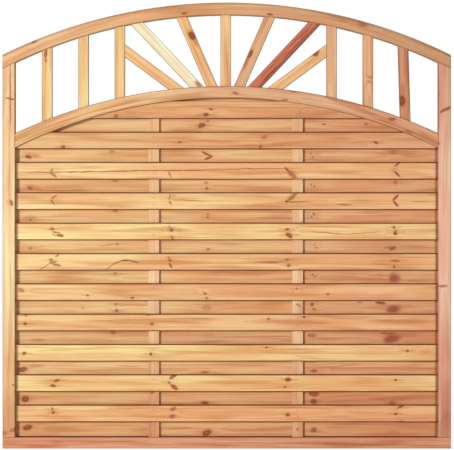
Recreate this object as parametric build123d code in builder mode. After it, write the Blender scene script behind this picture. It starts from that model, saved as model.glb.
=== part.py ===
from build123d import *

import os
from dataclasses import dataclass
from math import cos, inf, radians, sin, sqrt

# Arched fence panel: two ranks of slats on battens, in a grooved frame, with a sunburst of bars above.
# Millimetres. The front faces -Y, +Z is up, and the origin is the middle of the underside.

# Frame
PANEL_WIDTH = 1800.0
CREST_HEIGHT = 1790.0
STILE_WIDTH = 51.0
BOTTOM_RAIL_HEIGHT = 45.0
FACE_RECESS = 6.5
FRAME_ARRIS = 4.0

# Arches
TOP_ARCH_RADIUS = 2035.0
TOP_ARCH_DEPTH = 50.0
SUNBURST_HEIGHT = 285.0
LOWER_ARCH_RADIUS = 2000.0
LOWER_ARCH_DEPTH = 48.0
LOWER_ARCH_UNDERSIDE_RADIUS = 1890.0
ARCH_CHAMFER = 3.0
WORN_CORNER_RADIUS = 9.0

# Slats and the grooves that take their ends
SLAT_WIDTH = 70.0
SLAT_THICKNESS = 10.0
BACK_SLATS = 12
CROWN_SLAT_RISE = 21.9
SLAT_ARRIS = 4.0
SLAT_FOOT_GAP = 0.3
GROOVE_DEPTH = 12.0
GROOVE_PLAY = 0.5
SLAT_END_GAP = 1.0

# Battens between the two ranks of slats
BATTEN_WIDTH = 42.0
BATTEN_THICKNESS = 12.0
BATTEN_OFFSET = 289.0
BATTEN_TENON = 10.0
BATTEN_FIT = 0.2

# Balusters and rays: the whole infill stands a little left of the middle
INFILL_SHIFT = -4.0
BAR_WIDTH = 42.0
BAR_DEPTH = 30.0
BAR_ARRIS = 3.0
STILE_TO_BALUSTER = 131.5
BALUSTER_PITCH = 146.0
BALUSTERS_PER_SIDE = 3
CROOKED_BALUSTER_LEAN = -1.7
HIGH_RAY_LEAN = 23.5
MIDDLE_RAY_LEAN = 43.2
LOW_RAY_LEAN = 53.4
HIGH_RAY_FOOT_GAP = 12.0
MIDDLE_RAY_FOOT_GAP = 12.0
LOW_RAY_FOOT_GAP = 29.0

# Nails
NAIL_SHANK_DIAMETER = 2.2
NAIL_HEAD_DIAMETER = 5.0
NAIL_HEAD_THICKNESS = 0.8
NAIL_LENGTH = 19.0
NAIL_PAIR_SPACING = 28.0
NAIL_EDGE_MARGIN = 8.0
NAIL_FIT = 0.05

# Dowels
BAR_DOWEL_DIAMETER = 10.0
BAR_DOWEL_LENGTH = 40.0
FRAME_DOWEL_DIAMETER = 12.0
FRAME_DOWEL_LENGTH = 60.0
FRAME_DOWEL_SPACING = 20.0
DOWEL_FIT = 0.1
DOWEL_END_GAP = 0.5

# Planes of the two ranks of slats
BATTEN_FACE = BATTEN_THICKNESS / 2
SLAT_FACE = BATTEN_FACE + SLAT_THICKNESS
FRAME_DEPTH = 2 * (SLAT_FACE + FACE_RECESS)
GROOVE_WIDTH = SLAT_THICKNESS + 2 * GROOVE_PLAY
FRONT_GROOVE_PLANE = Plane.XZ.offset(BATTEN_FACE - GROOVE_PLAY)
BACK_GROOVE_PLANE = Plane.XZ.offset(-SLAT_FACE - GROOVE_PLAY)
GROOVE_PLANES = (FRONT_GROOVE_PLANE, BACK_GROOVE_PLANE)

# Lines of the frame
HALF_WIDTH = PANEL_WIDTH / 2
STILE_INNER = HALF_WIDTH - STILE_WIDTH
STILE_MIDDLE = HALF_WIDTH - STILE_WIDTH / 2
TOP_CENTRE = CREST_HEIGHT - TOP_ARCH_RADIUS
TOP_UNDERSIDE_RADIUS = TOP_ARCH_RADIUS - TOP_ARCH_DEPTH
LOWER_ARCH_CREST = CREST_HEIGHT - TOP_ARCH_DEPTH - SUNBURST_HEIGHT
LOWER_CENTRE = LOWER_ARCH_CREST - LOWER_ARCH_RADIUS
UNDERSIDE_CREST = LOWER_ARCH_CREST - LOWER_ARCH_DEPTH
UNDERSIDE_CENTRE = UNDERSIDE_CREST - LOWER_ARCH_UNDERSIDE_RADIUS
GROOVE_RADIUS = LOWER_ARCH_UNDERSIDE_RADIUS + GROOVE_DEPTH
SLAT_REACH = STILE_INNER + GROOVE_DEPTH - SLAT_END_GAP
SLAT_TRIM_RADIUS = GROOVE_RADIUS - SLAT_END_GAP
BATTEN_PLACES = {"left": INFILL_SHIFT - BATTEN_OFFSET, "right": INFILL_SHIFT + BATTEN_OFFSET}

os.makedirs("parts", exist_ok=True)


def save(piece, name):
    """Label a finished piece and write it as one node."""
    piece.part.label = name
    export_step(piece.part, f"parts/{name}.step")


def arc_height(centre, radius, x):
    """Height of an arc about the middle line at a given x."""
    return centre + sqrt(radius**2 - x**2)


@dataclass
class Bar:
    """One baluster or ray: where its axis crosses the crest level, its lean, and where it must stop."""

    name: str
    foot_x: float
    lean: float
    stop_x: float = inf

    def axis(self):
        return Vector(sin(radians(self.lean)), 0, cos(radians(self.lean)))

    def point(self, travel):
        return Vector(self.foot_x, 0, LOWER_ARCH_CREST) + self.axis() * travel

    def meets(self, centre, radius):
        """Travel along the axis from the crest level to an arc about the middle line."""
        rise = LOWER_ARCH_CREST - centre
        along = self.foot_x * self.axis().X + rise * self.axis().Z
        return sqrt(along**2 - self.foot_x**2 - rise**2 + radius**2) - along

    def foot(self):
        return self.meets(LOWER_CENTRE, LOWER_ARCH_RADIUS)

    def head(self):
        to_arch = self.meets(TOP_CENTRE, TOP_UNDERSIDE_RADIUS)
        if self.stop_x == inf or self.lean == 0:
            return to_arch
        return min(to_arch, (self.stop_x - self.foot_x) / self.axis().X)

    def dowel_planes(self):
        ends = (self.foot(), self.head())
        return [Plane(origin=self.point(end), x_dir=(0, 1, 0), z_dir=self.axis()) for end in ends]


def balusters():
    """The upright bars, from the outer one inwards on each side; the outer right one stands crooked."""
    bars = []
    for side, sign in (("left", -1), ("right", 1)):
        for order in range(BALUSTERS_PER_SIDE):
            offset = STILE_INNER - STILE_TO_BALUSTER - order * BALUSTER_PITCH
            crooked = side == "right" and order == 0
            lean = CROOKED_BALUSTER_LEAN if crooked else 0.0
            bars.append(Bar(f"baluster_{side}_{order + 1}", INFILL_SHIFT + sign * offset, lean))
    bars.append(Bar("centre_baluster", INFILL_SHIFT, 0.0))
    return bars


def rays():
    """The slanted bars, each set off from the one before it by a gap between their feet."""
    bars = []
    inner_baluster = STILE_INNER - STILE_TO_BALUSTER - (BALUSTERS_PER_SIDE - 1) * BALUSTER_PITCH
    stop = inner_baluster - BAR_WIDTH / 2
    edge = BAR_WIDTH / 2
    layout = (
        ("high", HIGH_RAY_LEAN, HIGH_RAY_FOOT_GAP),
        ("middle", MIDDLE_RAY_LEAN, MIDDLE_RAY_FOOT_GAP),
        ("low", LOW_RAY_LEAN, LOW_RAY_FOOT_GAP),
    )
    for name, lean, gap in layout:
        half_foot = BAR_WIDTH / 2 / cos(radians(lean))
        foot = edge + gap + half_foot
        edge = foot + half_foot
        for side, sign in (("left", -1), ("right", 1)):
            place = INFILL_SHIFT + sign * foot
            bars.append(Bar(f"ray_{side}_{name}", place, sign * lean, INFILL_SHIFT + sign * stop))
    return bars


BALUSTERS = balusters()
RAYS = rays()
BARS = BALUSTERS + RAYS
BAR_DOWEL_PLANES = [plane for bar in BARS for plane in bar.dowel_planes()]


def frame_dowel_planes():
    """Planes across the frame's dowels, each in the face where two members meet."""
    arch_bite = STILE_INNER - FRAME_DOWEL_LENGTH / 2
    groove_top = arc_height(UNDERSIDE_CENTRE, GROOVE_RADIUS, arch_bite)
    arch_top = arc_height(LOWER_CENTRE, LOWER_ARCH_RADIUS, STILE_INNER)
    arch_level = (groove_top + arch_top) / 2
    stile_top = arc_height(TOP_CENTRE, TOP_UNDERSIDE_RADIUS, STILE_MIDDLE)
    planes = []
    for sign in (-1, 1):
        for y in (-FRAME_DOWEL_SPACING / 2, FRAME_DOWEL_SPACING / 2):
            for z in (BOTTOM_RAIL_HEIGHT, stile_top):
                planes.append(Plane(origin=(sign * STILE_MIDDLE, y, z), z_dir=(0, 0, 1)))
            planes.append(Plane(origin=(sign * STILE_INNER, y, arch_level), z_dir=(1, 0, 0)))
    return planes


FRAME_DOWEL_PLANES = frame_dowel_planes()


def bore(planes, diameter, length):
    """Drill the dowel holes that reach into the piece being built."""
    with Locations(*planes):
        Cylinder(diameter / 2 + DOWEL_FIT, length + 2 * DOWEL_END_GAP, mode=Mode.SUBTRACT)


# Lower edges of the slats: the back rank runs from the rail to the crown, the front rank covers its gaps
FIRST_BACK_SLAT = BOTTOM_RAIL_HEIGHT + SLAT_FOOT_GAP
LAST_BACK_SLAT = UNDERSIDE_CREST - CROWN_SLAT_RISE
SLAT_PITCH = (LAST_BACK_SLAT - FIRST_BACK_SLAT) / (BACK_SLATS - 1)
BACK_ROWS = [FIRST_BACK_SLAT + row * SLAT_PITCH for row in range(BACK_SLATS)]
FRONT_ROWS = [bottom + SLAT_PITCH / 2 for bottom in BACK_ROWS[:-1]]


def nail_places(rows):
    """Pairs of nails on the centre line of each batten, kept clear of the lower arch."""
    places = []
    for x in BATTEN_PLACES.values():
        ceiling = arc_height(UNDERSIDE_CENTRE, LOWER_ARCH_UNDERSIDE_RADIUS, x) - NAIL_EDGE_MARGIN
        for bottom in rows:
            middle = bottom + SLAT_WIDTH / 2
            for z in (middle - NAIL_PAIR_SPACING / 2, middle + NAIL_PAIR_SPACING / 2):
                if z < ceiling:
                    places.append((x, z))
    return places


FRONT_NAILS = nail_places(FRONT_ROWS)
BACK_NAILS = nail_places(BACK_ROWS)

# Planes of the slats' outer faces, each looking out of the panel
FRONT_FACE = Plane.XZ.offset(SLAT_FACE)
BACK_FACE = Plane(origin=(0, SLAT_FACE, 0), x_dir=(1, 0, 0), z_dir=(0, -1, 0))


def nail_holes(places, face, inward):
    """Cut the shank holes of some nails, from a slat face inwards."""
    with BuildSketch(face) as holes:
        with Locations(*places):
            Circle(NAIL_SHANK_DIAMETER / 2 + NAIL_FIT)
    extrude(holes.sketch, amount=inward * (NAIL_LENGTH + NAIL_FIT), mode=Mode.SUBTRACT)


# Bottom rail, with mortises for the battens
with BuildPart() as bottom_rail:
    with BuildSketch(Plane.YZ):
        with Locations((0, BOTTOM_RAIL_HEIGHT / 2)):
            RectangleRounded(FRAME_DEPTH, BOTTOM_RAIL_HEIGHT, FRAME_ARRIS)
    extrude(amount=HALF_WIDTH, both=True)
    with BuildSketch(Plane.XY.offset(BOTTOM_RAIL_HEIGHT)):
        with Locations(*[(x, 0) for x in BATTEN_PLACES.values()]):
            Rectangle(BATTEN_WIDTH + 2 * BATTEN_FIT, BATTEN_THICKNESS + 2 * BATTEN_FIT)
    extrude(amount=-BATTEN_TENON, mode=Mode.SUBTRACT)
    bore(FRAME_DOWEL_PLANES, FRAME_DOWEL_DIAMETER, FRAME_DOWEL_LENGTH)
save(bottom_rail, "bottom_rail")

# Stiles, their tops cut to the underside of the top arch
for side, sign in (("left", -1), ("right", 1)):
    with BuildPart() as stile:
        with BuildSketch(Plane.XZ):
            with Locations((sign * STILE_MIDDLE, (BOTTOM_RAIL_HEIGHT + CREST_HEIGHT) / 2)):
                Rectangle(STILE_WIDTH, CREST_HEIGHT - BOTTOM_RAIL_HEIGHT)
            with Locations((0, TOP_CENTRE)):
                Circle(TOP_UNDERSIDE_RADIUS, mode=Mode.INTERSECT)
        extrude(amount=FRAME_DEPTH / 2, both=True)
        fillet(stile.edges().filter_by(Axis.Z), FRAME_ARRIS)
        for plane in GROOVE_PLANES:
            with BuildSketch(plane):
                with Locations((sign * STILE_INNER, (BOTTOM_RAIL_HEIGHT + LOWER_ARCH_CREST) / 2)):
                    Rectangle(2 * GROOVE_DEPTH, LOWER_ARCH_CREST - BOTTOM_RAIL_HEIGHT)
                with Locations((0, UNDERSIDE_CENTRE)):
                    Circle(GROOVE_RADIUS, mode=Mode.INTERSECT)
            extrude(amount=GROOVE_WIDTH, mode=Mode.SUBTRACT)
        bore(FRAME_DOWEL_PLANES, FRAME_DOWEL_DIAMETER, FRAME_DOWEL_LENGTH)
    save(stile, f"{side}_stile")

# Top arch, running over both stiles to the outer edges, its right-hand corner rounded off
with BuildPart() as top_arch:
    with BuildSketch(Plane.XZ) as arch_face:
        with Locations((0, TOP_CENTRE)):
            Circle(TOP_ARCH_RADIUS)
            Circle(TOP_UNDERSIDE_RADIUS, mode=Mode.SUBTRACT)
        with Locations((0, CREST_HEIGHT / 2)):
            Rectangle(PANEL_WIDTH, CREST_HEIGHT, mode=Mode.INTERSECT)
        fillet(arch_face.vertices().group_by(Axis.X)[-1].sort_by(Axis.Y)[-1], WORN_CORNER_RADIUS)
    extrude(amount=FRAME_DEPTH / 2, both=True)
    chamfer(top_arch.edges().filter_by(GeomType.CIRCLE), ARCH_CHAMFER)
    bore(BAR_DOWEL_PLANES, BAR_DOWEL_DIAMETER, BAR_DOWEL_LENGTH)
    bore(FRAME_DOWEL_PLANES, FRAME_DOWEL_DIAMETER, FRAME_DOWEL_LENGTH)
save(top_arch, "top_arch")

# Lower arch between the stiles, deeper towards its ends, grooved underneath for the slats
with BuildPart() as lower_arch:
    with BuildSketch(Plane.XZ):
        with Locations((0, LOWER_CENTRE)):
            Circle(LOWER_ARCH_RADIUS)
        with Locations((0, UNDERSIDE_CENTRE)):
            Circle(LOWER_ARCH_UNDERSIDE_RADIUS, mode=Mode.SUBTRACT)
        with Locations((0, LOWER_ARCH_CREST / 2)):
            Rectangle(2 * STILE_INNER, LOWER_ARCH_CREST, mode=Mode.INTERSECT)
    extrude(amount=FRAME_DEPTH / 2, both=True)
    chamfer(lower_arch.edges().filter_by(GeomType.CIRCLE), ARCH_CHAMFER)
    for plane in GROOVE_PLANES:
        with BuildSketch(plane):
            with Locations((0, UNDERSIDE_CENTRE)):
                Circle(GROOVE_RADIUS)
        extrude(amount=GROOVE_WIDTH, mode=Mode.SUBTRACT)
    bore(BAR_DOWEL_PLANES, BAR_DOWEL_DIAMETER, BAR_DOWEL_LENGTH)
    bore(FRAME_DOWEL_PLANES, FRAME_DOWEL_DIAMETER, FRAME_DOWEL_LENGTH)
save(lower_arch, "lower_arch")

# Battens, tenoned into the bottom rail and cut to the underside of the lower arch
for side, x in BATTEN_PLACES.items():
    with BuildPart() as batten:
        with BuildSketch(Plane.XZ):
            batten_foot = BOTTOM_RAIL_HEIGHT - BATTEN_TENON
            with Locations((x, (batten_foot + LOWER_ARCH_CREST) / 2)):
                Rectangle(BATTEN_WIDTH, LOWER_ARCH_CREST - batten_foot)
            with Locations((0, UNDERSIDE_CENTRE)):
                Circle(LOWER_ARCH_UNDERSIDE_RADIUS - BATTEN_FIT, mode=Mode.INTERSECT)
        extrude(amount=BATTEN_THICKNESS / 2, both=True)
        nail_holes([place for place in FRONT_NAILS if place[0] == x], FRONT_FACE, -1)
        nail_holes([place for place in BACK_NAILS if place[0] == x], BACK_FACE, 1)
    save(batten, f"batten_{side}")


def build_rank(rank, rows, depth, face, inward, nails):
    """Make and write one rank of slats, numbered from the bottom."""
    for number, bottom in enumerate(rows, start=1):
        with BuildPart() as slat:
            with BuildSketch(Plane.YZ):
                with Locations((depth, bottom + SLAT_WIDTH / 2)):
                    RectangleRounded(SLAT_THICKNESS, SLAT_WIDTH, SLAT_ARRIS)
            extrude(amount=SLAT_REACH, both=True)
            with BuildSketch(Plane.XZ):
                with Locations((0, UNDERSIDE_CENTRE)):
                    Circle(SLAT_TRIM_RADIUS)
            extrude(amount=FRAME_DEPTH, both=True, mode=Mode.INTERSECT)
            own_nails = [place for place in nails if bottom < place[1] < bottom + SLAT_WIDTH]
            if own_nails:
                nail_holes(own_nails, face, inward)
        save(slat, f"{rank}_slat_{number:02d}")


SLAT_MIDDLE = BATTEN_FACE + SLAT_THICKNESS / 2
build_rank("front", FRONT_ROWS, -SLAT_MIDDLE, FRONT_FACE, -1, FRONT_NAILS)
build_rank("back", BACK_ROWS, SLAT_MIDDLE, BACK_FACE, 1, BACK_NAILS)

# Balusters and rays, cut to the arches, the low rays also to the inner balusters
for bar in BARS:
    with BuildPart() as stick:
        with BuildSketch(Plane.XZ):
            middle = bar.point((bar.foot() + bar.head()) / 2)
            with Locations(Location((middle.X, middle.Z, 0), (0, 0, -bar.lean))):
                Rectangle(BAR_WIDTH, CREST_HEIGHT)
            with Locations((0, TOP_CENTRE)):
                Circle(TOP_UNDERSIDE_RADIUS, mode=Mode.INTERSECT)
            with Locations((0, LOWER_CENTRE)):
                Circle(LOWER_ARCH_RADIUS, mode=Mode.SUBTRACT)
            if bar.stop_x != inf:
                outward = PANEL_WIDTH / 2 if bar.lean > 0 else -PANEL_WIDTH / 2
                with Locations((bar.stop_x + outward, CREST_HEIGHT / 2)):
                    Rectangle(PANEL_WIDTH, 2 * CREST_HEIGHT, mode=Mode.SUBTRACT)
        extrude(amount=BAR_DEPTH / 2, both=True)
        fillet(stick.edges().filter_by(Axis((0, 0, 0), bar.axis())), BAR_ARRIS)
        bore(BAR_DOWEL_PLANES, BAR_DOWEL_DIAMETER, BAR_DOWEL_LENGTH)
    save(stick, bar.name)


def build_nails(name, places, face, inward):
    """Make and write all nails of one rank as one group: shanks in the wood, heads on the slats."""
    with BuildPart() as nails:
        with BuildSketch(face):
            with Locations(*places):
                Circle(NAIL_SHANK_DIAMETER / 2)
        extrude(amount=inward * NAIL_LENGTH)
        with BuildSketch(face):
            with Locations(*places):
                Circle(NAIL_HEAD_DIAMETER / 2)
        extrude(amount=-inward * NAIL_HEAD_THICKNESS)
    save(nails, name)


build_nails("front_slat_nails", FRONT_NAILS, FRONT_FACE, -1)
build_nails("back_slat_nails", BACK_NAILS, BACK_FACE, 1)


def build_dowels(name, planes, diameter, length):
    """Make and write all dowels of one size as one group."""
    with BuildPart() as dowels:
        with Locations(*planes):
            Cylinder(diameter / 2, length)
    save(dowels, name)


build_dowels("infill_dowels", BAR_DOWEL_PLANES, BAR_DOWEL_DIAMETER, BAR_DOWEL_LENGTH)
build_dowels("frame_dowels", FRAME_DOWEL_PLANES, FRAME_DOWEL_DIAMETER, FRAME_DOWEL_LENGTH)
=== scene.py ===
import math
from dataclasses import dataclass, replace

import bpy
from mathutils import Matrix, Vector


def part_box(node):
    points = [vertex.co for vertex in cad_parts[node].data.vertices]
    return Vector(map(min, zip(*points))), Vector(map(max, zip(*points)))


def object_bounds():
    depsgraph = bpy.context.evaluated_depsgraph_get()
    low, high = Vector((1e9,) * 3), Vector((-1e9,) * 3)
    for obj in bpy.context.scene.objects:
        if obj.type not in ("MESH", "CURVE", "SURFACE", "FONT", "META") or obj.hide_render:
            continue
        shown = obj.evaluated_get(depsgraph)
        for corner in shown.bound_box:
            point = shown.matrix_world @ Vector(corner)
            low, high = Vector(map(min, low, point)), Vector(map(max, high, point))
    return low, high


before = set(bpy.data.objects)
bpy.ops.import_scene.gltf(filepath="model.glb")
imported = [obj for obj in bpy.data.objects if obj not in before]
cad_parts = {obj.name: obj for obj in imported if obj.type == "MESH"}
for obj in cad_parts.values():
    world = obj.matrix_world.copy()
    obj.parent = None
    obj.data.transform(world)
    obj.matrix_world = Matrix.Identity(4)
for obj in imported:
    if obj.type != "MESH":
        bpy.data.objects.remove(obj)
cad_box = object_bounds()

MM = 0.001

# Sizes of the arches in metres, as the panel was built
CREST_HEIGHT = 1.790
TOP_ARCH_RADIUS = 2.035
TOP_ARCH_DEPTH = 0.050
LOWER_ARCH_CREST = 1.455
LOWER_ARCH_RADIUS = 2.000
LOWER_ARCH_DEPTH = 0.048

# Leans of the boards from upright, in degrees, and the tilt of marks along the right-hand middle ray
UPRIGHT = 0.0
LEVEL = 90.0
RAY_LEANS = {"high": 23.5, "middle": 43.2, "low": 53.4}
RAY_TILT = LEVEL - RAY_LEANS["middle"]

# Nodes with level grain, and nodes of steel
LEVEL_NODES = ("bottom_rail", "infill_dowels", "frame_dowels")
NAIL_NODES = ("front_slat_nails", "back_slat_nails")

# Camera: level and square to the panel; sizes in metres, sensor in mm, turn in degrees
CAMERA_DISTANCE = 9.5
VIEW_WIDTH = 1.8217
VIEW_MIDDLE_X = 0.0012
VIEW_MIDDLE_Z = 0.8972
SENSOR_WIDTH = 36.0
CAMERA_TURN = 90.0

# Light
KEY_PLACE = (-5.8, -8.1, 2.3)
KEY_SIZE = 1.6
KEY_POWER = 735.0
WORLD_LIGHT = 0.33
WHITE = (1.0, 1.0, 1.0, 1.0)

# Floor
FLOOR_SIZE = 14.0
FLOOR_LEVEL = -0.0005
FLOOR_GLOW = 0.62
FLOOR_GREY = (0.92, 0.92, 0.92, 1.0)
FLOOR_ROUGHNESS = 0.9

# The display curve, which is straight below its knee
CURVE_KNEE = 0.04045
CURVE_SLOPE = 12.92
CURVE_OFFSET = 0.055
CURVE_POWER = 2.4

# Wood tones in display colour
CREAM = (0.93, 0.845, 0.665)
MAIZE = (0.91, 0.79, 0.56)
OCHRE = (0.90, 0.74, 0.51)
SAND = (0.90, 0.74, 0.58)
LEMON = (0.94, 0.80, 0.57)
HONEY = (0.93, 0.76, 0.55)
PEACH = (0.92, 0.73, 0.53)
AMBER = (0.91, 0.72, 0.52)
COPPER = (0.87, 0.66, 0.47)
SHELL = (0.935, 0.80, 0.65)
ROSE = (0.97, 0.80, 0.71)
BRICK = (0.85, 0.61, 0.48)
TAN = (0.86, 0.67, 0.50)
BISCUIT = (0.87, 0.70, 0.54)
CHESTNUT = (0.82, 0.58, 0.44)
FAWN = (0.90, 0.685, 0.525)
STRAW = (0.95, 0.945, 0.83)
RUSSET = (0.80, 0.455, 0.355)
MARK_RED = (0.71, 0.35, 0.20)
MARK_MAROON = (0.68, 0.36, 0.29)
MARK_DARK = (0.49, 0.22, 0.0)
# The brown that darkens arrises, sides, edge bands and slat ends: partly edge wear, partly painted shade
WEAR_AND_SHADE_BROWN = (0.45, 0.29, 0.20)

# A board's lighter, warmer and darker wood, as tints of its tone
LIGHT_TINT = (1.02, 1.05, 1.03)
WARM_TINT = (0.99, 0.92, 0.87)
DEEP_TINT = (0.83, 0.67, 0.52)

# Tints of a board's two ends, left or lower end first, in linear light, and their reach from its middle
SLAT_TINTS = ((1.0, 1.09, 1.06), (1.0, 0.92, 0.95))
TOP_ARCH_TINTS = ((1.08, 1.20, 1.20), (0.90, 0.90, 0.90))
LOWER_ARCH_TINTS = ((1.14, 1.32, 1.25), (1.03, 1.00, 1.08))
BATTEN_TINTS = ((0.80, 0.62, 0.53), (0.92, 0.80, 0.69))
LEFT_STILE_TINTS = ((0.87, 0.65, 0.55), (0.94, 0.76, 0.69))
RIGHT_STILE_TINTS = ((0.80, 0.63, 0.57), (0.81, 0.65, 0.61))
TINT_REACH = 0.6
STILE_TINT_FROM = 0.3

# Growth rings around a pith behind the face, in metres; the late wood's rise and fall are shares of a ring
RING_SPACING = 0.0042
PITH_DISTANCE = 0.055
PITH_SWING = 0.025
PITH_TURN = 7.0
GRAIN_WANDER = (0.0, 0.016, 0.032)
LATE_RISE = (0.35, 0.92)
LATE_FALL = (0.93, 1.0)
LATE_STRENGTH = 0.22

# Directions that count: across the grain, and in the panel's face
CROSS_SECTION = (0.0, 1.0, 1.0)
FACE = (1.0, 0.0, 1.0)

# The normal's part through the panel: where faces turn into arrises, and where arrises turn into sides
ARRIS_RANGE = (0.90, 0.998)
SIDE_RANGE = (0.05, 0.35)

# Painted shade along the slats' edges, at the seams, and at their ends, in metres from the middle, and its
# strengths
EDGE_BAND_FADE = 0.003
SLAT_SHADE = 1.0
SLAT_SEAM_SHADE = 1.0
SLAT_SEAM_SHADE_FROM = 0.0297
# The shift widens the painted shade along the slats' upper edges, which the lamp lights
SLAT_SEAM_SHADE_SHIFT = -0.0013
# Painted shade at the slats' ends beside the stiles: where it begins and ends, and its strength at the left
# and right ends
SLAT_ENDS_FROM = 0.834
SLAT_ENDS_TO = 0.842
FRONT_ENDS_PAINTED_SHADE = (0.8, 0.8)
BACK_ENDS_PAINTED_SHADE = (0.0, 0.6)
# The top front slat, under the lower arch, has lighter arrises and painted shade only along its lower edge
TOP_SLAT = "front_slat_11"
TOP_SLAT_ARRIS = 0.2
TOP_SLAT_SEAM_SHADE_FROM = 0.039
TOP_SLAT_SEAM_SHADE_SHIFT = 0.008

# Gloss and relief of the wood
WOOD_ROUGHNESS = 0.64
FIGURE_GLOSS = -0.12
MARK_GLOSS = -0.15
WOOD_SPECULAR = 0.35
LATE_RELIEF = 0.4
MARK_RELIEF = 0.6
FIBRE_RELIEF = 0.35
WOOD_BUMP = 0.0006
WOOD_BUMP_STRENGTH = 0.5

# Steel of the nails
STEEL_TAN = (0.78, 0.60, 0.42)
STEEL_BROWN = (0.64, 0.45, 0.30)
STEEL_GLOSS_RANGE = (0.2, 0.8)
STEEL_ROUGHNESS = (0.35, 0.8)
STEEL_BUMP = 0.0002
STEEL_METALLIC = 0.15

# Seeds of the grain, which differ from board to board
FRONT_SEED = 2.0
BACK_SEED = 21.0
TOP_ARCH_SEED = 41.0
LOWER_ARCH_SEED = 43.0
OTHER_SEED = 51.0
SEED_STEP = 1.37

# Kinds of marks: factors on the sizes and strengths given, reach of the red rim as a share of the half size,
# a knot's push on the rings, and the reddish grain beside a slat's knot, with its added length in mm
KNOT_SIZE = 1.15
KNOT_DARK = 1.2
KNOT_SPREAD = 1.8
KNOT_PUSH = 0.6
SPIKE_LENGTH = 1.2
SPIKE_WIDTH = 1.4
SPIKE_DARK = 0.65
SPIKE_SPREAD = 1.3
VEIN_RED = 0.8
SOFT_SPREAD = 1.2
BESIDE_LENGTH = 70.0
BESIDE_RED = 0.5

# Profile of a mark: distances from its middle as shares of its half size, how dark its heart is beside its
# outer part, and how strongly its red covers the wood
HEART_RANGE = (0.25, 0.80)
HEART_DARK = 0.78
OUTLINE_RANGE = (0.65, 1.05)
RIM_START = 0.3
PUSH_REACH = 6.0
RED_COVER = 0.9

# How far the rims of marks stray, in metres, and the middle of a noise colour
RAGGED_REACH = (0.008, 0.0, 0.008)
NOISE_MIDDLE = (0.5, 0.5, 0.5)

# Sockets of the mix node that take and give colours
MIX_FIRST = 6
MIX_SECOND = 7
MIX_RESULT = 2


@dataclass
class Layer:
    """A layer of noise: its changes per metre and its steps per seed in three directions, along, through and
    across a board, its detail, the noise values between which it sets in, and how far it darkens the wood."""

    scale: tuple
    step: tuple
    detail: float = 2.0
    start: float = 0.0
    end: float = 1.0
    strength: float = 1.0


# Layers of the wood, from broad to fine, then the rims of marks and the nails' rust, along the panel's axes
WANDER = Layer(scale=(1.1, 5.0, 5.0), step=(1.0, 0.0, 2.0))
DRIFT = Layer(scale=(2.2, 6.0, 14.0), step=(5.0, 0.0, 1.0), start=0.38, end=0.62)
FLAMES = Layer(scale=(3.2, 14.0, 38.0), step=(2.0, 0.0, 1.0), detail=1.0, start=0.52, end=0.70,
               strength=0.42)
STREAKS = Layer(scale=(1.6, 30.0, 60.0), step=(3.0, 1.0, 0.0), detail=3.0, start=0.48, end=0.72,
                strength=0.40)
LINES = Layer(scale=(1.1, 60.0, 150.0), step=(1.0, 2.0, 0.0), start=0.50, end=0.78, strength=0.35)
FIBRES = Layer(scale=(9.0, 300.0, 420.0), step=(1.0, 0.0, 1.0), start=0.35, end=0.75, strength=0.14)
RAGGED = Layer(scale=(32.0, 90.0, 70.0), step=(1.0, 0.0, 0.0))
RUST = Layer(scale=(400.0, 400.0, 400.0), step=(0.0, 0.0, 0.0), detail=3.0, start=0.4, end=0.65)


@dataclass
class Mark:
    """A knot, branch scar or stain on a board's face: place and sizes (mm), tilt (degrees), strengths of its
    dark middle, red rim and maroon patch, reach of the rim, and push on the rings."""

    x: float
    z: float
    length: float
    width: float
    tilt: float
    dark: float = 0.0
    red: float = 0.0
    spread: float = SOFT_SPREAD
    push: float = 0.0
    maroon: float = 0.0


def knot(x, z, length, width, tilt=0.0, dark=0.75):
    """A round or oval knot with a reddish ring, which the grain flows around."""
    return Mark(x, z, KNOT_SIZE * length, KNOT_SIZE * width, tilt, dark=min(1.0, KNOT_DARK * dark), red=dark,
                spread=KNOT_SPREAD, push=KNOT_PUSH)


def spike(x, z, length, width, tilt=0.0, red=0.8):
    """A branch cut along its length: a reddish stroke."""
    return Mark(x, z, SPIKE_LENGTH * length, SPIKE_WIDTH * width, tilt, dark=SPIKE_DARK * red, red=red,
                spread=SPIKE_SPREAD)


def vein(x, z, length, width, tilt=0.0, dark=0.6):
    """A dark stripe."""
    return Mark(x, z, length, width, tilt, dark=dark, red=VEIN_RED * dark)


def streak(x, z, length, width, tilt=0.0, red=0.35):
    """A soft reddish streak or stain in the grain."""
    return Mark(x, z, length, width, tilt, red=red)


def smear(x, z, length, width, tilt=0.0, maroon=0.9):
    """A maroon patch around a knot."""
    return Mark(x, z, length, width, tilt, maroon=maroon)


def grain_beside(mark):
    """The reddish grain to both sides of a knot."""
    return streak(mark.x, mark.z, mark.length + BESIDE_LENGTH, mark.width, red=BESIDE_RED * mark.red)


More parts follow.
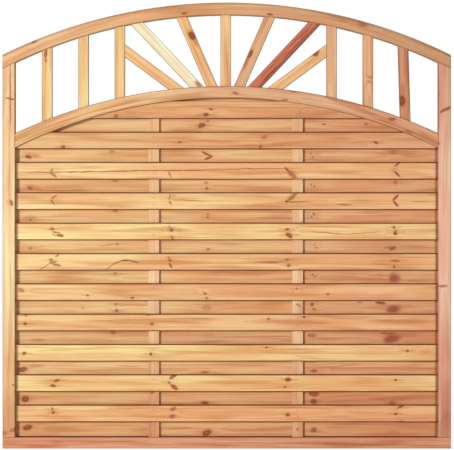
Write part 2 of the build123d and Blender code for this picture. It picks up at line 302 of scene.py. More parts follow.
# Marks on the front slats, by number from the bottom: x from the panel's middle, height from the slat's
FRONT_MARKS = {
    11: [knot(-444, -24, 17, 13, dark=0.55), knot(-64, 3, 16, 9, -20, 0.7),
         knot(-83, -19, 20, 13, 15, 0.85), knot(294, -6, 9, 8, dark=0.35)],
    10: [knot(-656, -28, 16, 12, dark=0.65), knot(-189, -6, 16, 8, dark=0.55),
         knot(150, 12, 24, 15, 10, 0.38), streak(150, 12, 70, 26, 4, 0.3),
         knot(135, -25, 11, 10, dark=0.65), knot(599, -10, 16, 10, -20, 0.75), streak(540, -6, 90, 12),
         streak(60, -24, 420, 14), streak(20, -3, 340, 9)],
    9: [streak(-690, -2, 80, 40, 0, 0.2), spike(-704, -2, 22, 6, 68), spike(-695, -18, 28, 7, -38),
        spike(-229, -15, 30, 7, -68, 0.5), spike(243, 4, 26, 8, -50, 1.0),
        spike(262, -16, 42, 13, -42, 0.75), streak(262, -14, 64, 32, -42, 0.6),
        spike(685, 25, 24, 7, 38, 1.0), spike(684, -13, 32, 8, -40, 1.0),
        spike(-600, -5, 430, 3.5, 0.5, 0.75), spike(-230, 0, 430, 3.5, 0.4, 0.85),
        spike(110, 8, 340, 3.5, 0.6, 0.75), streak(672, 2, 40, 22)],
    8: [streak(-686, 0, 80, 40, 0, 0.2), spike(-693, 16, 30, 6, 37), spike(-700, -3, 22, 7, -52),
        spike(-229, 16, 26, 7, 80, 0.5), spike(-226, -8, 17, 8, -55, 0.55),
        spike(-153, 2, 140, 4, -3, 0.45), streak(-213, 22, 26, 16), spike(262, 14, 48, 11, 40, 0.75),
        streak(262, 16, 66, 30, 40, 0.6), knot(240, -3, 12, 8, 0, 0.8), spike(288, -4, 110, 4, 0, 0.7),
        spike(472, -14, 62, 5, 0, 0.6), spike(679, 13, 30, 8, 43, 1.0), spike(678, -10, 30, 8, -48, 1.0),
        spike(775, -3, 64, 4, 0, 0.4)],
    7: [knot(-701, 10, 17, 8, dark=0.7), spike(-685, -5, 34, 5, -12, 0.7), spike(-669, -17, 28, 9, -8, 0.9),
        spike(-693, -14, 20, 5, -32, 0.6), streak(-400, 2, 260, 12), knot(-222, 6, 14, 11, dark=0.8),
        streak(-222, 7, 60, 24, 0, 0.5), knot(-230, 19, 9, 8, dark=0.5), spike(-219, -26, 18, 8, -50, 0.7),
        streak(-222, 8, 110, 18), knot(242, 7, 17, 9, dark=0.8), knot(251, -17, 27, 16, -35, 0.75),
        streak(230, 2, 110, 12), spike(400, -6, 130, 5, -4, 0.45), spike(530, -8, 190, 4, 3, 0.35),
        knot(671, 16, 11, 10), knot(679, 2, 10, 8, dark=0.6), knot(677, -8, 14, 10, dark=0.8)],
    6: [knot(-706, 6, 15, 9, dark=0.55), spike(-698, -3, 30, 7, 10, 0.8), spike(-682, -14, 36, 9, -12, 0.7),
        spike(-681, 25, 20, 8, 35, 0.6), spike(-731, -20, 46, 4, 31, 0.6), spike(-469, -21, 34, 4, 41, 0.6),
        vein(-440, -4, 46, 7, 21, 0.8), vein(-409, 4, 50, 8, 6, 1.0), vein(-374, 2, 54, 7, -13, 0.8),
        knot(-227, 6, 15, 10, dark=0.7), knot(-233, 17, 8, 8, dark=0.5), spike(-225, -15, 22, 9, -55, 0.8),
        spike(174, -2, 120, 6, 0, 0.75), knot(242, 6, 16, 9, dark=0.45), knot(249, -15, 16, 13, dark=0.55),
        spike(674, 3, 36, 7, 0, 0.6), knot(671, -20, 9, 11, dark=0.6), streak(-260, -4, 700, 16),
        streak(80, -4, 420, 16)],
    5: [knot(-825, 7, 24, 16, -30, 0.45), knot(-558, -12, 9, 9, dark=0.7), knot(-378, -24, 15, 9, dark=0.6),
        knot(-87, -6, 16, 9, -30, 0.55), knot(-81, -25, 14, 9, dark=0.5), knot(281, 12, 8, 7, dark=0.6),
        knot(406, -10, 12, 8, dark=0.65), streak(0, -12, 1300, 22, 0, 0.3)],
    4: [knot(-809, -6, 14, 10), knot(-805, 28, 10, 8, dark=0.5), knot(-301, -6, 14, 10),
        knot(-315, 29, 12, 8, 0, 0.5), streak(-350, 1, 500, 22, 0, 0.4), spike(-430, 9, 260, 4, 1, 0.4),
        spike(-205, 2, 190, 4, -2, 0.45), knot(168, 14, 14, 9, dark=0.5), streak(250, 3, 360, 22, 0, 0.45),
        knot(310, 21, 10, 9, dark=0.8), spike(350, -2, 130, 5, -2, 0.4), streak(700, 3, 300, 26, 1, 0.5)],
    3: [knot(-813, -3, 16, 11, 20), knot(-305, -6, 11, 10, dark=0.85), knot(161, 21, 10, 9, dark=0.7),
        knot(726, 7, 12, 11, dark=0.7), streak(800, 3, 70, 20)],
    2: [knot(-683, 10, 22, 10, 20, 0.7), knot(-697, -11, 20, 10, -5), streak(-570, 2, 200, 8),
        spike(-214, 27, 34, 13, 35, 0.9), spike(-211, -16, 34, 13, -32, 0.95), knot(-232, 2, 12, 8, 0, 0.6),
        streak(-245, 3, 50, 16), knot(247, 12, 24, 13, dark=0.9), knot(234, -17, 10, 8, dark=0.6),
        knot(679, 11, 11, 9, dark=0.7)],
    1: [knot(-701, 17, 9, 12, dark=0.6), knot(-697, 2, 13, 9), knot(-216, 17, 22, 11, 20, 0.55),
        knot(-219, -12, 24, 12, 0, 0.55), knot(246, -5, 16, 12), streak(210, -4, 150, 9),
        knot(698, 26, 26, 9, 25, 0.65), knot(679, -4, 14, 8, dark=0.8), knot(700, -32, 18, 6, 0, 0.4)],
}

# Marks on the back slats, in the same way
BACK_MARKS = {
    11: [knot(-101, 0, 30, 17, 15), knot(-76, 16, 14, 9, 0, 0.4), knot(391, 4, 17, 6, 0, 0.6),
         knot(561, 5, 16, 12, 0, 0.35)],
    10: [knot(-798, -5, 25, 13, -10, 0.75), streak(-782, 0, 80, 26, -8, 0.5),
         knot(-461, 17, 24, 10, 0, 0.35), spike(-78, 6, 44, 7, -25, 1.0), spike(-73, -9, 34, 7, 21, 1.0),
         streak(342, 2, 90, 60, 0, 0.2), knot(338, 9, 9, 8, 0, 0.45), knot(346, -5, 12, 7, 0, 0.4),
         knot(671, 14, 28, 20, 0, 0.2)],
    9: [knot(-792, -9, 22, 11, -20, 0.65), streak(-780, -6, 80, 26, -12, 0.5),
        knot(-449, 19, 24, 8, 0, 0.35), knot(-80, -10, 11, 9, 0, 0.6), knot(-84, 11, 14, 9, 0, 0.35),
        streak(346, 2, 90, 60, 0, 0.2), knot(340, 6, 8, 10, 0, 0.45), knot(352, -2, 8, 12, 0, 0.45),
        knot(679, 15, 14, 16, 0, 0.35)],
    8: [knot(-790, -13, 12, 9, 0, 0.5), streak(-790, -8, 60, 34, 0, 0.35), knot(-447, 20, 20, 9, 0, 0.5),
        knot(-76, 1, 9, 24, 0, 0.3), spike(215, 6, 100, 4, 0, 0.35), streak(346, 2, 90, 60, 0, 0.25),
        knot(342, -4, 8, 9, 0, 0.5), knot(351, 8, 9, 12, 0, 0.5), streak(640, 4, 180, 12)],
    7: [knot(-790, -8, 16, 14, 0, 0.3), knot(-440, 10, 10, 9, 0, 0.4), spike(-480, 5, 80, 4, 4, 0.35),
        knot(-76, -13, 16, 10, 0, 0.4), streak(354, 2, 90, 60, 0, 0.15), knot(352, 6, 8, 7, 0, 0.4),
        knot(361, -4, 9, 8, 0, 0.4), knot(668, -8, 26, 12, 15, 0.65), spike(650, -4, 40, 8, 10, 0.5),
        streak(620, 0, 480, 60, 0, 0.2)],
    6: [knot(-447, 13, 12, 10, 0, 0.4), streak(352, 2, 90, 60, 0, 0.2), knot(346, 10, 9, 10, 0, 0.45),
        knot(358, 2, 10, 8, 0, 0.4), smear(677, -5, 58, 46, 0, 0.9), smear(664, 8, 40, 22, 40, 0.7),
        knot(672, -6, 32, 24, 50, 0.35), streak(630, 6, 90, 12, -6, 0.5), streak(600, 4, 160, 12),
        streak(600, 0, 520, 60, 0, 0.2)],
    5: [knot(-443, -15, 16, 12, 0, 0.5), knot(-447, 11, 14, 8, 0, 0.4), knot(-579, -3, 14, 9, 0, 0.3),
        knot(-80, -3, 36, 22, 0, 0.25), knot(344, 11, 14, 14, 0, 0.6), knot(352, -9, 16, 14, 0, 0.4),
        smear(671, -8, 76, 42, 6, 0.95), knot(668, -9, 46, 22, 16, 0.35), spike(619, 16, 44, 8, -8, 1.0),
        spike(535, 18, 24, 5, -8, 0.6), streak(480, 12, 200, 9), streak(610, -4, 520, 60, 0, 0.22)],
    4: [knot(-457, 17, 20, 12, 0, 0.5), streak(-760, -12, 80, 16, 0, 0.5), streak(-76, 8, 60, 14),
        knot(342, 8, 34, 12, 0, 0.45), smear(665, -6, 86, 46, 8, 0.95), knot(662, -7, 54, 24, 12, 0.4),
        spike(647, 16, 60, 6, 0, 1.0)],
    3: [knot(-820, -8, 32, 19, 8, 0.75), streak(-765, 6, 80, 16, 0, 0.5), streak(-400, 6, 120, 14, -4),
        knot(-88, -20, 30, 8, 0, 0.4), streak(342, 20, 50, 12), knot(350, -14, 26, 12, 0, 0.5),
        streak(440, 4, 220, 9, 5, 0.5)],
    2: [knot(-811, -5, 29, 22, 10, 0.9), knot(-88, -20, 30, 14), spike(350, 17, 40, 20, -10, 0.9),
        knot(350, -16, 24, 17, 0, 0.75), knot(667, -20, 24, 16, 0, 0.4), streak(480, 8, 260, 8, 3, 0.3)],
    1: [knot(-802, 1, 36, 21, 12, 0.85), knot(-80, -19, 36, 22, 15), knot(350, -8, 24, 19, 20, 0.6),
        streak(667, -16, 70, 16), streak(470, 14, 220, 10)],
}

# Marks on the frame, the bars and the battens: x from the panel's middle, height from the ground
OTHER_MARKS = {
    # The first vein here is painted shade: a dark stripe along the stile's inner edge above the lower arch
    "left_stile": [vein(-849, 1420, 7, 440, 0, 0.5), spike(-869, 1425, 250, 4, 90, 0.95),
                   spike(-868, 1404, 34, 6, -8, 0.9), knot(-864, 986, 12, 22, 15, 0.6),
                   streak(-872, 990, 36, 28), knot(-858, 75, 30, 18, 20, 0.5),
                   knot(-890, 63, 22, 16, 0, 0.45), knot(-857, 256, 7, 8, 0, 0.5),
                   streak(-876, 80, 80, 400, 0, 0.45)],
    # The first vein here is painted shade: a dark stripe along the stile's inner edge above the lower arch
    "right_stile": [vein(849, 1420, 7, 440, 0, 0.5), spike(879, 1361, 52, 10, 27, 0.9),
                    knot(852, 1224, 6, 8, 0, 0.6), knot(866, 652, 34, 9, 0, 0.45),
                    streak(880, 170, 50, 300, 0, 0.55), vein(880, 80, 64, 170, 0, 0.28)],
    "bottom_rail": [streak(-681, 26, 60, 18, 0, 0.5), streak(-120, 20, 200, 14), streak(330, 22, 260, 16)],
    "top_arch": [knot(-772, 1631, 24, 8, 25, 0.5), knot(-171, 1747, 20, 8, 0, 0.7),
                 knot(174, 1743, 24, 8, 0, 0.7), knot(546, 1700, 36, 16, -15, 0.4),
                 streak(494, 1676, 90, 12, -14, 0.5), streak(225, 1752, 300, 50, -6, 0.22),
                 streak(770, 1620, 170, 50, -22, 0.25)],
    "lower_arch": [knot(35, 1427, 20, 10, -20, 0.6), knot(234, 1399, 24, 8, 0, 0.5),
                   knot(663, 1322, 28, 12, 0, 0.6), knot(730, 1272, 30, 10, -20, 0.4),
                   knot(266, 1431, 24, 6, -8, 0.4), streak(640, 1312, 80, 14, -18),
                   streak(225, 1418, 280, 50, -6, 0.2)],
    "baluster_left_1": [spike(-727, 1585, 34, 11, 80, 0.9), spike(-727, 1558, 18, 7, -75, 0.7)],
    "baluster_right_2": [knot(575, 1490, 15, 9, 0, 0.35), knot(573, 1473, 14, 9, 0, 0.3)],
    "baluster_right_1": [knot(703, 1396, 25, 38, 0, 0.95), vein(694, 1500, 6, 340, 1.7, 0.3),
                         vein(731, 1490, 8, 340, 1.7, 0.5), streak(718, 1540, 16, 230, 1.7, 0.45),
                         streak(707, 1438, 26, 70, 0, 0.6)],
    "ray_left_high": [knot(-139, 1657, 36, 22, -60, 0.95), streak(-128, 1632, 46, 18, -60, 0.7)],
    "ray_left_middle": [streak(-113, 1463, 44, 26, -40, 0.95)],
    "ray_right_high": [knot(95, 1584, 34, 13, 66), streak(83, 1558, 120, 15, 66, 0.9)],
    "ray_right_low": [knot(357, 1588, 28, 18, 45, 0.85)],
    "ray_right_middle": [vein(186, 1541, 170, 6, RAY_TILT, 0.6), vein(271, 1612, 180, 6, RAY_TILT, 0.6),
                         vein(219, 1565, 130, 5, RAY_TILT, 0.5), vein(281, 1644, 120, 6, RAY_TILT, 0.55),
                         vein(177, 1508, 110, 9, RAY_TILT, 0.7), vein(313, 1668, 80, 7, RAY_TILT, 0.55),
                         streak(160, 1503, 90, 30, RAY_TILT, 0.5)],
    "batten_left": [knot(-300, 227, 18, 12, 0, 0.6), streak(-290, 120, 8, 200),
                    streak(-290, 567, 60, 70, 0, 0.3)],
    "batten_right": [knot(284, 578, 9, 9, 0, 0.5), knot(292, 572, 8, 12, 0, 0.5),
                     knot(286, 76, 9, 9, 0, 0.4), streak(290, 567, 60, 70, 0, 0.25),
                     streak(290, 1298, 60, 70, 0, 0.25)],
}

# Tones of the front slats from the bottom, and of the back slats
FRONT_TONES = [PEACH, LEMON, LEMON, PEACH, PEACH, HONEY, LEMON, HONEY, HONEY, COPPER, COPPER]
BACK_TONES = [COPPER, COPPER, AMBER, COPPER, AMBER, AMBER, AMBER, AMBER, AMBER, AMBER, AMBER, AMBER]


@dataclass
class Look:
    """How a board looks: its tone, the strength of its figure, how far its arrises and sides darken, partly
    as edge wear and partly as painted shade, the tints of its two ends, and how far from its middle the
    second tint begins. A darker band along its edges has a strength, a distance from the middle line where it
    begins, and a shift of that line; on the slats it is painted shade at the seams. The last pair is the
    strength of the painted shade at a slat's left and right ends."""

    tone: tuple
    figure: float = 1.0
    arris_shade: float = 0.8
    side_shade: float = 0.3
    tints: tuple = ()
    tint_from: float = 0.0
    edge_band: float = 0.0
    edge_band_from: float = 0.0
    edge_band_shift: float = 0.0
    ends_painted_shade: tuple = ()


# Looks of the other boards; those not named here are honey coloured
OTHER_LOOKS = {
    "left_stile": Look(CREAM, figure=0.75, arris_shade=0.45, tints=LEFT_STILE_TINTS,
                       tint_from=STILE_TINT_FROM),
    "right_stile": Look(ROSE, figure=0.7, arris_shade=0.4, tints=RIGHT_STILE_TINTS,
                        tint_from=STILE_TINT_FROM),
    "bottom_rail": Look(BRICK, figure=1.35, arris_shade=0.4),
    # The top arch's edge band darkens its upper edge; the right-hand middle ray's darkens both its edges
    "top_arch": Look(TAN, figure=0.9, arris_shade=0.4, tints=TOP_ARCH_TINTS,
                     edge_band=0.3, edge_band_from=0.021, edge_band_shift=-0.006),
    "lower_arch": Look(BISCUIT, figure=1.3, arris_shade=0.6, tints=LOWER_ARCH_TINTS),
    "batten_left": Look(SHELL, figure=0.7, tints=BATTEN_TINTS),
    "batten_right": Look(SHELL, figure=0.5, tints=BATTEN_TINTS),
    "baluster_left_1": Look(MAIZE),
    "baluster_left_2": Look(MAIZE),
    "baluster_left_3": Look(OCHRE),
    "baluster_right_1": Look(CHESTNUT, figure=1.8),
    "baluster_right_2": Look(FAWN, figure=1.2),
    "baluster_right_3": Look(SAND),
    "centre_baluster": Look(PEACH),
    "ray_left_middle": Look(STRAW, figure=0.7),
    "ray_right_high": Look(TAN),
    "ray_right_middle": Look(RUSSET, figure=2.0, arris_shade=1.0, side_shade=0.6,
                             edge_band=0.45, edge_band_from=0.0115, edge_band_shift=0.0035),
}


def light_value(value):
    """The linear light of one display value."""
    if value <= CURVE_KNEE:
        return value / CURVE_SLOPE
    return ((value + CURVE_OFFSET) / (1.0 + CURVE_OFFSET)) ** CURVE_POWER


def linear(colour):
    """The linear light of a display colour, with full opacity."""
    return (*(light_value(value) for value in colour), 1.0)


def tinted(colour, tint):
    """A display colour times a tint."""
    return tuple(min(1.0, c * t) for c, t in zip(colour, tint))


class Nodes:
    """A node tree, with short calls for the nodes that the materials need."""

    def __init__(self, tree):
        self.tree = tree

    def add(self, kind, **settings):
        node = self.tree.nodes.new(kind)
        for name, value in settings.items():
            setattr(node, name, value)
        return node

    def feed(self, socket, source):
        """Link a socket, or set it where the source is a plain value."""
        if isinstance(source, bpy.types.NodeSocket):
            self.tree.links.new(source, socket)
        else:
            socket.default_value = source

    def feed_all(self, sockets, sources):
        for socket, source in zip(sockets, sources):
            self.feed(socket, source)

    def math(self, operation, *sources, clamp=False):
        node = self.add("ShaderNodeMath", operation=operation, use_clamp=clamp)
        self.feed_all(node.inputs, sources)
        return node.outputs[0]

    def vector(self, operation, *sources):
        node = self.add("ShaderNodeVectorMath", operation=operation)
        self.feed_all(node.inputs, sources)
        return node.outputs["Value" if operation == "LENGTH" else "Vector"]

    def split(self, vector):
        """The X, Y and Z outputs of a vector."""
        node = self.add("ShaderNodeSeparateXYZ")
        self.feed(node.inputs[0], vector)
        return node.outputs

    def ramp(self, source, start, end, low=0.0, high=1.0):
        """A smooth step from low, at start, to high, at end; start is the smaller."""
        node = self.add("ShaderNodeMapRange", interpolation_type="SMOOTHSTEP")
        settings = {"Value": source, "From Min": start, "From Max": end, "To Min": low, "To Max": high}
        for name, value in settings.items():
            self.feed(node.inputs[name], value)
        return node.outputs["Result"]

    def mix(self, factor, first, second, blend="MIX"):
        node = self.add("ShaderNodeMix", data_type="RGBA", blend_type=blend)
        self.feed(node.inputs["Factor"], factor)
        self.feed(node.inputs[MIX_FIRST], first)
        self.feed(node.inputs[MIX_SECOND], second)
        return node.outputs[MIX_RESULT]

    def noise(self, layer, coordinates, seed, output="Fac"):
        """A layer's noise, shifted by the seed."""
        node = self.add("ShaderNodeTexNoise")
        node.inputs["Scale"].default_value = 1.0
        node.inputs["Detail"].default_value = layer.detail
        shift = tuple(seed * step for step in layer.step)
        self.feed(node.inputs["Vector"], self.vector("MULTIPLY_ADD", coordinates, layer.scale, shift))
        return node.outputs[output]

    def shown(self, layer, noise):
        """How far a layer sets in, from its noise."""
        return self.ramp(noise, layer.start, layer.end)

    def object_place(self):
        return self.add("ShaderNodeTexCoord").outputs["Object"]

    def seen(self):
        """One for what the eye sees, directly or in a mirror or glass; zero for light on other surfaces."""
        path = self.add("ShaderNodeLightPath").outputs
        direct = self.math("MAXIMUM", path["Is Camera Ray"], path["Is Glossy Ray"])
        return self.math("MAXIMUM", direct, path["Is Transmission Ray"])


def new_material(name):
    """A material, its node tree and its shader."""
    material = bpy.data.materials.new(name)
    material.use_nodes = True
    return material, Nodes(material.node_tree), material.node_tree.nodes["Principled BSDF"]


def add_bump(nodes, shader, height, distance, strength=1.0):
    """Relief on a shader, with its depth in metres."""
    bump = nodes.add("ShaderNodeBump")
    bump.inputs["Strength"].default_value = strength
    bump.inputs["Distance"].default_value = distance
    nodes.feed(bump.inputs["Height"], height)
    nodes.feed(shader.inputs["Normal"], bump.outputs["Normal"])


def straight_grain(nodes, centre, lean):
    """Coordinates along, through and across a straight board, from its middle."""
    turned = nodes.add("ShaderNodeMapping")
    turned.inputs["Rotation"].default_value = (0.0, math.radians(LEVEL - lean), 0.0)
    nodes.feed(turned.inputs["Vector"], nodes.vector("SUBTRACT", nodes.object_place(), centre))
    return turned.outputs["Vector"]


def arched_grain(nodes, arc_centre, radius):
    """The same coordinates on an arch: along its curve, through it and across it."""
    offset = nodes.vector("SUBTRACT", nodes.object_place(), (0.0, 0.0, arc_centre))
    parts = nodes.split(offset)
    reach = nodes.vector("LENGTH", nodes.vector("MULTIPLY", offset, FACE))
    angle = nodes.math("ARCTAN2", parts["X"], parts["Z"])
    joined = nodes.add("ShaderNodeCombineXYZ")
    nodes.feed(joined.inputs["X"], nodes.math("MULTIPLY", angle, radius))
    nodes.feed(joined.inputs["Y"], parts["Y"])
    nodes.feed(joined.inputs["Z"], nodes.math("SUBTRACT", reach, radius))
    return joined.outputs["Vector"]


# Sockets of the group that lays one mark over the marks before it
MARK_VECTORS = ("Place", "Middle", "Stretch", "Turn")
MARK_STRENGTHS = ("Dark", "Red", "Spread", "Push", "Maroon")
MARK_BEFORE = ("Dark before", "Red before", "Push before", "Maroon before")
MARK_RESULTS = ("Dark so far", "Red so far", "Push so far", "Maroon so far")


def mark_group():
    """One mark laid over those before it: its dark middle, red rim, maroon patch and push on the rings."""
    tree = bpy.data.node_groups.new("mark", "ShaderNodeTree")
    for name in MARK_VECTORS:
        tree.interface.new_socket(name, in_out="INPUT", socket_type="NodeSocketVector")
    for name in MARK_STRENGTHS + MARK_BEFORE:
        tree.interface.new_socket(name, in_out="INPUT", socket_type="NodeSocketFloat")
    for name in MARK_RESULTS:
        tree.interface.new_socket(name, in_out="OUTPUT", socket_type="NodeSocketFloat")
    nodes = Nodes(tree)
    given = nodes.add("NodeGroupInput").outputs
    turned = nodes.add("ShaderNodeVectorRotate", rotation_type="EULER_XYZ")
    nodes.feed(turned.inputs["Vector"], nodes.vector("SUBTRACT", given["Place"], given["Middle"]))
    nodes.feed(turned.inputs["Rotation"], given["Turn"])
    distance = nodes.vector("LENGTH", nodes.vector("MULTIPLY", turned.outputs["Vector"], given["Stretch"]))
    heart = nodes.ramp(distance, *HEART_RANGE, HEART_DARK, 1.0)
    inside = nodes.math("MULTIPLY", nodes.ramp(distance, *OUTLINE_RANGE, 1.0, 0.0), heart)
    dark = nodes.math("MULTIPLY", inside, given["Dark"])
    inner = nodes.math("MULTIPLY", given["Spread"], RIM_START)
    rim = nodes.ramp(distance, inner, given["Spread"], 1.0, 0.0)
    red = nodes.math("MULTIPLY", rim, given["Red"])
    maroon = nodes.math("MULTIPLY", rim, given["Maroon"])
    push = nodes.math("MULTIPLY", nodes.ramp(distance, 0.0, PUSH_REACH, 1.0, 0.0), given["Push"])
    result = nodes.add("NodeGroupOutput").inputs
    nodes.feed(result["Dark so far"], nodes.math("MAXIMUM", dark, given["Dark before"]))
    nodes.feed(result["Red so far"], nodes.math("MAXIMUM", red, given["Red before"]))
    nodes.feed(result["Push so far"], nodes.math("ADD", push, given["Push before"]))
    nodes.feed(result["Maroon so far"], nodes.math("MAXIMUM", maroon, given["Maroon before"]))
    return tree


MARK_GROUP = mark_group()


def add_marks(nodes, marks, seed):
    """Masks of a board's marks, with ragged rims: dark middles, red rims, push on the rings and maroon."""
    place = nodes.object_place()
    shake = nodes.vector("SUBTRACT", nodes.noise(RAGGED, place, seed, "Color"), NOISE_MIDDLE)
    shaken = nodes.vector("MULTIPLY_ADD", shake, RAGGED_REACH, place)
    masks = (0.0,) * len(MARK_RESULTS)
    for mark in marks:
        group = nodes.add("ShaderNodeGroup", node_tree=MARK_GROUP)
        middle = (mark.x * MM, 0.0, mark.z * MM)
        stretch = (2.0 / (mark.length * MM), 0.0, 2.0 / (mark.width * MM))
        turn = (0.0, math.radians(mark.tilt), 0.0)
        strengths = (mark.dark, mark.red, mark.spread, mark.push, mark.maroon)
        given = [group.inputs[name] for name in MARK_VECTORS + MARK_STRENGTHS + MARK_BEFORE]
        nodes.feed_all(given, (shaken, middle, stretch, turn) + strengths + masks)
        masks = tuple(group.outputs[name] for name in MARK_RESULTS)
    return masks


def late_wood(nodes, warped, push, seed):
    """The dark late wood of growth rings around a pith behind the face."""
    pith = (0.0, PITH_DISTANCE, PITH_SWING * math.sin(PITH_TURN * seed))
    radial = nodes.vector("MULTIPLY", nodes.vector("ADD", warped, pith), CROSS_SECTION)
    rings = nodes.math("DIVIDE", nodes.vector("LENGTH", radial), RING_SPACING)
    band = nodes.math("FRACT", nodes.math("ADD", rings, push))
    return nodes.math("MULTIPLY", nodes.ramp(band, *LATE_RISE), nodes.ramp(band, *LATE_FALL, 1.0, 0.0))


def wood_figure(nodes, look, coordinates, warped, late, fibre, seed):
    """How far the wood is darkened by its layers and its late wood."""
    figure = nodes.math("MULTIPLY", late, LATE_STRENGTH * look.figure)
    for layer, place in ((FLAMES, warped), (STREAKS, warped), (LINES, coordinates)):
        shown = nodes.shown(layer, nodes.noise(layer, place, seed))
        figure = nodes.math("MULTIPLY_ADD", shown, layer.strength * look.figure, figure)
    return nodes.math("MULTIPLY_ADD", nodes.shown(FIBRES, fibre), FIBRES.strength, figure, clamp=True)


def tint_ends(nodes, look, colour, along):
    """The tints of a board's two ends."""
    low, high = ((*tint, 1.0) for tint in look.tints)
    colour = nodes.mix(nodes.ramp(along, -TINT_REACH, 0.0, 1.0, 0.0), colour, low, "MULTIPLY")
    return nodes.mix(nodes.ramp(along, look.tint_from, TINT_REACH), colour, high, "MULTIPLY")


def edge_shade(nodes, look, along, across):
    """How far arrises, sides and edge bands darken the faces, partly as edge wear and partly as painted
    shade, and the painted shade at slat ends.
    """
    normal = nodes.split(nodes.add("ShaderNodeNewGeometry").outputs["Normal"])
    frontal = nodes.math("ABSOLUTE", normal["Y"])
    arris = nodes.ramp(frontal, *ARRIS_RANGE, 1.0, 0.0)
    edge = nodes.math("MULTIPLY", arris, nodes.ramp(frontal, *SIDE_RANGE, look.side_shade, look.arris_shade))
    darkenings = []
    # A darker band along the edges: painted shade at the slats' seams, a darker upper edge on the top arch,
    # darker edges on a ray
    if look.edge_band:
        reach = nodes.math("ABSOLUTE", nodes.math("SUBTRACT", across, look.edge_band_shift))
        darkenings.append(nodes.ramp(reach, look.edge_band_from, look.edge_band_from + EDGE_BAND_FADE, 0.0, look.edge_band))
    # Painted shade at a slat's left and right ends, beside the stiles
    if look.ends_painted_shade:
        left, right = look.ends_painted_shade
        darkenings.append(nodes.ramp(along, -SLAT_ENDS_TO, -SLAT_ENDS_FROM, left, 0.0))
        darkenings.append(nodes.ramp(along, SLAT_ENDS_FROM, SLAT_ENDS_TO, 0.0, right))
    for edge_band in darkenings:
        edge = nodes.math("MAXIMUM", edge, edge_band)
    return edge


def pine(name, look, grain, seed, marks):
    """Planed pine: growth rings cut by the board, streaks, fibres, knots, and darker arrises and edges, which
    are partly edge wear and partly painted shade.
    """
    material, nodes, shader = new_material(name)
    coordinates = grain(nodes)
    parts = nodes.split(coordinates)
    dark, red, push, maroon = add_marks(nodes, marks, seed)

    # Grain
    wander = nodes.noise(WANDER, coordinates, seed, "Color")
    warped = nodes.vector("MULTIPLY_ADD", wander, GRAIN_WANDER, coordinates)
    late = late_wood(nodes, warped, push, seed)
    fibre = nodes.noise(FIBRES, coordinates, seed)
    figure = wood_figure(nodes, look, coordinates, warped, late, fibre, seed)

    # Colour
    light, warm, deep = (linear(tinted(look.tone, tint)) for tint in (LIGHT_TINT, WARM_TINT, DEEP_TINT))
    drift = nodes.shown(DRIFT, nodes.noise(DRIFT, coordinates, seed))
    colour = nodes.mix(figure, nodes.mix(drift, light, warm), deep)
    if look.tints:
        colour = tint_ends(nodes, look, colour, parts["X"])
    colour = nodes.mix(maroon, colour, linear(MARK_MAROON))
    colour = nodes.mix(nodes.math("MULTIPLY", red, RED_COVER), colour, linear(MARK_RED))
    colour = nodes.mix(dark, colour, linear(MARK_DARK))
    # Darker arrises, sides and edge bands, partly edge wear and partly painted shade, and painted shade at
    # the slats' ends
    edge = edge_shade(nodes, look, parts["X"], parts["Z"])
    nodes.feed(shader.inputs["Base Color"], nodes.mix(edge, colour, linear(WEAR_AND_SHADE_BROWN), "MULTIPLY"))

    # Gloss and relief
    rough = nodes.math("MULTIPLY_ADD", figure, FIGURE_GLOSS, WOOD_ROUGHNESS)
    nodes.feed(shader.inputs["Roughness"], nodes.math("MULTIPLY_ADD", dark, MARK_GLOSS, rough))
    shader.inputs["Specular IOR Level"].default_value = WOOD_SPECULAR
    relief = nodes.math("MULTIPLY_ADD", late, LATE_RELIEF, nodes.math("MULTIPLY", dark, MARK_RELIEF))
    relief = nodes.math("MULTIPLY_ADD", fibre, FIBRE_RELIEF, relief)
    add_bump(nodes, shader, relief, WOOD_BUMP, WOOD_BUMP_STRENGTH)
    return material


def dull_steel():
    """Nails gone brown and dull."""
    material, nodes, shader = new_material("dull_steel")
    rust = nodes.noise(RUST, nodes.object_place(), 0.0)
    colour = nodes.mix(nodes.shown(RUST, rust), linear(STEEL_TAN), linear(STEEL_BROWN))
    nodes.feed(shader.inputs["Base Color"], colour)
    nodes.feed(shader.inputs["Roughness"], nodes.ramp(rust, *STEEL_GLOSS_RANGE, *STEEL_ROUGHNESS))
    shader.inputs["Metallic"].default_value = STEEL_METALLIC
    add_bump(nodes, shader, rust, STEEL_BUMP)
    return material


def middle_of(node):
    """The middle of a CAD node's box."""
    low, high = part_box(node)
    return tuple((a + b) / 2 for a, b in zip(low, high))


def dress(node, material):
    """Give a CAD node one material."""
    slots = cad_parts[node].data.materials
    slots.clear()
    slots.append(material)


def dress_board(node, look, lean, seed, marks):
    """A straight board, with the grain along it."""
    centre = middle_of(node)
    dress(node, pine(f"pine_{node}", look, lambda nodes: straight_grain(nodes, centre, lean), seed, marks))


def dress_arch(node, crest, radius, depth, seed):
    """An arch, with the grain along its middle line."""
    def grain(nodes):
        return arched_grain(nodes, crest - radius, radius - depth / 2)

    dress(node, pine(f"pine_{node}", OTHER_LOOKS[node], grain, seed, OTHER_MARKS[node]))


def lean_of(node):
    """How far a board's grain leans from upright; rays lean away from the middle."""
    if node in LEVEL_NODES:
        return LEVEL
    if node.startswith("ray_"):
        side, height = node.split("_")[1:]
        return -RAY_LEANS[height] if side == "left" else RAY_LEANS[height]
    return UPRIGHT


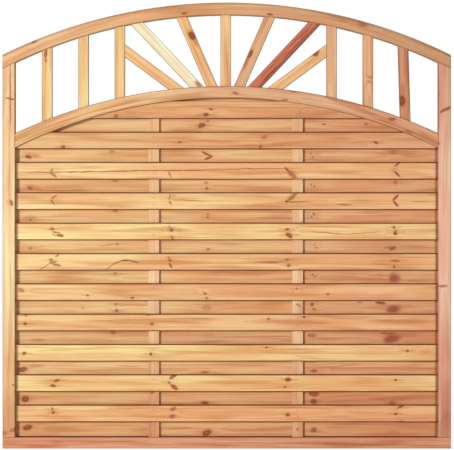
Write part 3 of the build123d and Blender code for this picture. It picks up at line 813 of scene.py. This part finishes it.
def dress_slats(rank, tones, marks, ends_painted_shade, seed):
    """One rank of slats, from the bottom."""
    for number, tone in enumerate(tones, 1):
        node = f"{rank}_slat_{number:02d}"
        height = middle_of(node)[2] / MM
        placed = [replace(mark, z=mark.z + height) for mark in marks.get(number, [])]
        placed += [grain_beside(mark) for mark in placed if mark.push]
        # The band along the slats' edges and the darkening at their ends are painted shade; the arrises are
        # partly so
        look = Look(tone, arris_shade=SLAT_SHADE, side_shade=SLAT_SHADE, tints=SLAT_TINTS, edge_band=SLAT_SEAM_SHADE,
                    edge_band_from=SLAT_SEAM_SHADE_FROM, edge_band_shift=SLAT_SEAM_SHADE_SHIFT, ends_painted_shade=ends_painted_shade)
        if node == TOP_SLAT:
            look = replace(look, arris_shade=TOP_SLAT_ARRIS, edge_band_from=TOP_SLAT_SEAM_SHADE_FROM,
                           edge_band_shift=TOP_SLAT_SEAM_SHADE_SHIFT)
        dress_board(node, look, LEVEL, seed + SEED_STEP * number, placed)


def dress_panel():
    """Every node of the panel."""
    dress_slats("front", FRONT_TONES, FRONT_MARKS, FRONT_ENDS_PAINTED_SHADE, FRONT_SEED)
    dress_slats("back", BACK_TONES, BACK_MARKS, BACK_ENDS_PAINTED_SHADE, BACK_SEED)
    dress_arch("top_arch", CREST_HEIGHT, TOP_ARCH_RADIUS, TOP_ARCH_DEPTH, TOP_ARCH_SEED)
    dress_arch("lower_arch", LOWER_ARCH_CREST, LOWER_ARCH_RADIUS, LOWER_ARCH_DEPTH, LOWER_ARCH_SEED)
    steel = dull_steel()
    for node in NAIL_NODES:
        dress(node, steel)
    others = [n for n in sorted(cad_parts) if "_slat_" not in n and not n.endswith("_arch")]
    for number, node in enumerate(others):
        look = OTHER_LOOKS.get(node, Look(HONEY))
        dress_board(node, look, lean_of(node), OTHER_SEED + SEED_STEP * number, OTHER_MARKS.get(node, []))


def add_camera():
    """A camera in front of the panel, level with the middle of the view."""
    data = bpy.data.cameras.new("camera")
    data.sensor_width = SENSOR_WIDTH
    data.lens = SENSOR_WIDTH * CAMERA_DISTANCE / VIEW_WIDTH
    camera = bpy.data.objects.new("camera", data)
    camera.location = (VIEW_MIDDLE_X, cad_box[0][1] - CAMERA_DISTANCE, VIEW_MIDDLE_Z)
    camera.rotation_euler = (math.radians(CAMERA_TURN), 0.0, 0.0)
    bpy.context.scene.collection.objects.link(camera)
    bpy.context.scene.camera = camera


def add_key_light():
    """A soft lamp in front of the panel, to the left and above, aimed at its middle."""
    data = bpy.data.lights.new("key", "AREA")
    data.size = KEY_SIZE
    data.energy = KEY_POWER
    lamp = bpy.data.objects.new("key", data)
    lamp.location = KEY_PLACE
    aim = [t - p for t, p in zip((VIEW_MIDDLE_X, 0.0, VIEW_MIDDLE_Z), KEY_PLACE)]
    lamp.rotation_euler = (math.atan2(math.hypot(aim[0], aim[1]), -aim[2]), 0.0, math.atan2(-aim[0], aim[1]))
    bpy.context.scene.collection.objects.link(lamp)


def add_floor():
    """A pale floor, which the eye sees a little brighter than it is lit."""
    bpy.ops.mesh.primitive_plane_add(size=FLOOR_SIZE, location=(0.0, 0.0, FLOOR_LEVEL))
    floor = bpy.context.object
    floor.name = "floor"
    material, nodes, shader = new_material("floor")
    shader.inputs["Base Color"].default_value = FLOOR_GREY
    shader.inputs["Roughness"].default_value = FLOOR_ROUGHNESS
    shader.inputs["Emission Color"].default_value = WHITE
    nodes.feed(shader.inputs["Emission Strength"], nodes.math("MULTIPLY", nodes.seen(), FLOOR_GLOW))
    floor.data.materials.append(material)


def add_world():
    """Soft white surroundings; seen directly they are plain white."""
    world = bpy.data.worlds.new("studio")
    bpy.context.scene.world = world
    world.use_nodes = True
    nodes = Nodes(world.node_tree)
    background = world.node_tree.nodes["Background"]
    background.inputs["Color"].default_value = WHITE
    strength = nodes.math("MULTIPLY_ADD", nodes.seen(), 1.0 - WORLD_LIGHT, WORLD_LIGHT)
    nodes.feed(background.inputs["Strength"], strength)


dress_panel()
add_camera()
add_key_light()
add_floor()
add_world()
bpy.context.scene.view_settings.view_transform = "Standard"
